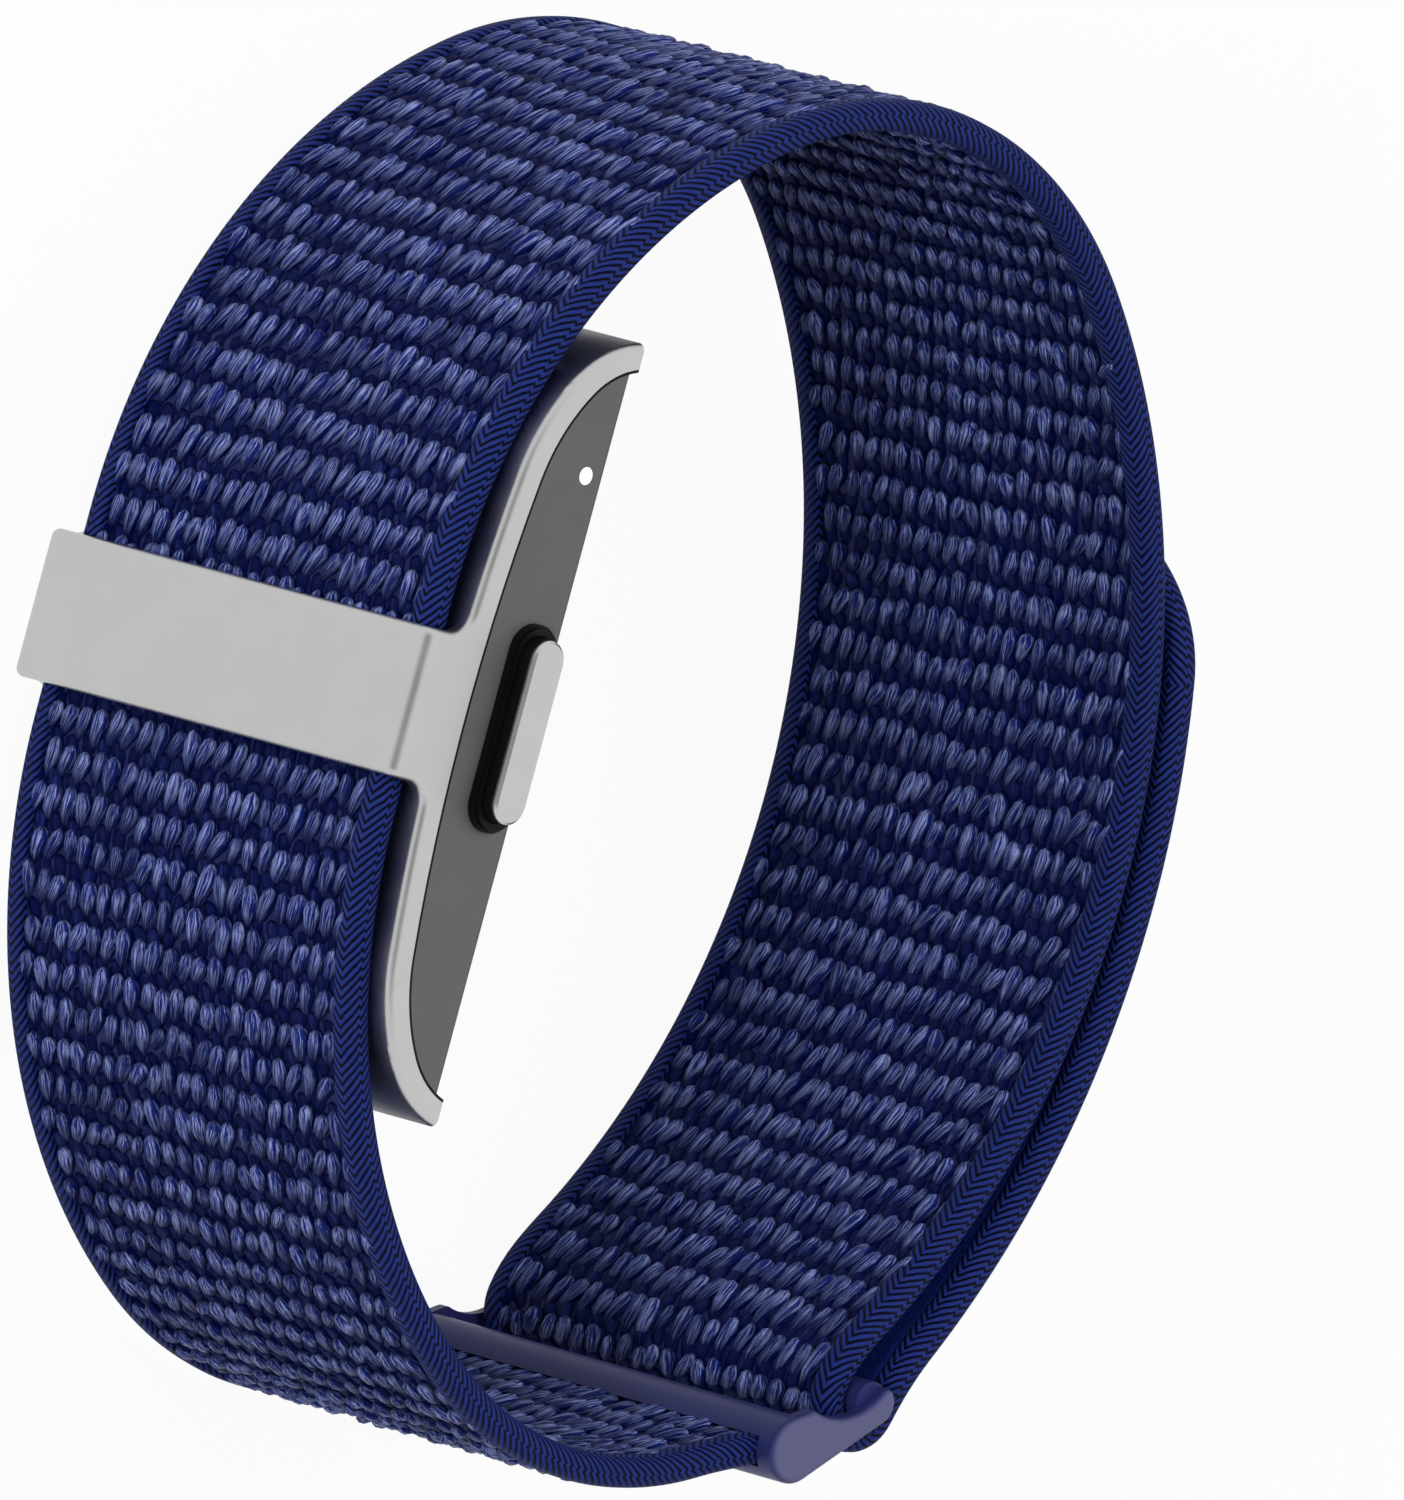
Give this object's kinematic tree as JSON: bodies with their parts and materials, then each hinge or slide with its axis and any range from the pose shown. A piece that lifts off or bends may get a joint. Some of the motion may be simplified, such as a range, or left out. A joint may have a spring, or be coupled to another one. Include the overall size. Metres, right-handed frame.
{
  "type": "fitness tracker band",
  "caption": "Screenless wrist activity tracker in a steel frame on a woven hook-and-loop strap, with a side button, a status light and a moulded loop buckle.",
  "frame": {"origin": "under the middle of the loop, on the plane that the tracker's plain side and the buckle's plain side rest on", "axes": "+Z along the wrist axis towards the button side, +Y along the tracker, -X out through the bridge, away from the wrist"},
  "size_m": [0.057, 0.0706, 0.0289],
  "materials": {
    "steel": "satin, fine blasted",
    "side_panel": "fine matte, dark grey",
    "cover_plastic": "fine matte, near black",
    "lens": "polished smoked optical window",
    "black_rubber": "matte",
    "button_metal": "satin",
    "status_light": "milky diffuser",
    "weave": "ribbed hook-and-loop weave, loops on both faces",
    "binding": "herringbone braid",
    "tab_fabric": "smooth bonded tab",
    "hook": "moulded hooks on a woven base",
    "buckle_plastic": "satin moulded navy plastic",
    "board": "solder mask",
    "chip": "moulded chip package",
    "can": "stamped tinplate",
    "battery_pouch": "laminated foil pouch",
    "foam": "closed-cell foam",
    "flex": "polyimide film",
    "gold": "gold plate",
    "screw_steel": "machined",
    "weight": "sintered tungsten",
    "emitter": "clear moulding over the die",
    "photodiode": "coated die"
  },
  "bodies": {
    "band": {"steel_frame": "steel", "perimeter_gasket": "black_rubber", "module_case": "side_panel", "cover_gasket": "black_rubber", "back_cover": "cover_plastic", "charging_contacts": "gold", "sensor_lens": "lens", "light_barrier": "black_rubber", "green_leds": "emitter", "red_led": "emitter", "infrared_led": "emitter", "photodiodes": "photodiode", "main_board": "board", "board_screws": "screw_steel", "processor": "chip", "motion_sensor": "chip", "shield_can": "can", "battery_foam": "foam", "battery": "battery_pouch", "antenna_strip": "flex", "haptic_housing": "can", "haptic_springs": "screw_steel", "button_ring": "black_rubber", "tact_switch": "chip", "side_flex": "flex", "switch_bracket": "screw_steel", "status_led": "emitter", "status_light_pipe": "status_light", "woven_strap": "weave", "button_side_binding": "binding", "plain_side_binding": "binding", "strap_buckle": "buckle_plastic", "strap_fold": "weave"},
    "tail": {"tail_panel": "weave", "tail_button_side_binding": "binding", "tail_plain_side_binding": "binding", "tail_tab": "tab_fabric", "hook_pad_1": "hook", "hook_pad_2": "hook", "hook_pad_3": "hook", "hook_pad_4": "hook", "hook_pad_5": "hook"},
    "button": {"button_cap": "button_metal", "button_seal": "black_rubber"},
    "weight": {"haptic_weight": "weight"}
  },
  "joints": [
    {"name": "tail_peel", "type": "hinge", "parent": "band", "child": "tail", "pos_m": [0.0171, -0.0279, 0.0137], "axis": [0, 0, 1], "range_deg": [-80, 0], "deforming": ["strap_fold"]},
    {"name": "button_press", "type": "slide", "parent": "band", "child": "button", "axis": [0, 0, -1], "range_m": [0, 0.0004], "stiffness_N_per_m": 2500},
    {"name": "haptic_shake", "type": "slide", "parent": "band", "child": "weight", "axis": [0, 0, 1], "range_m": [-0.0004, 0.0004], "stiffness_N_per_m": 1300, "deforming": ["haptic_springs"]}
  ]
}
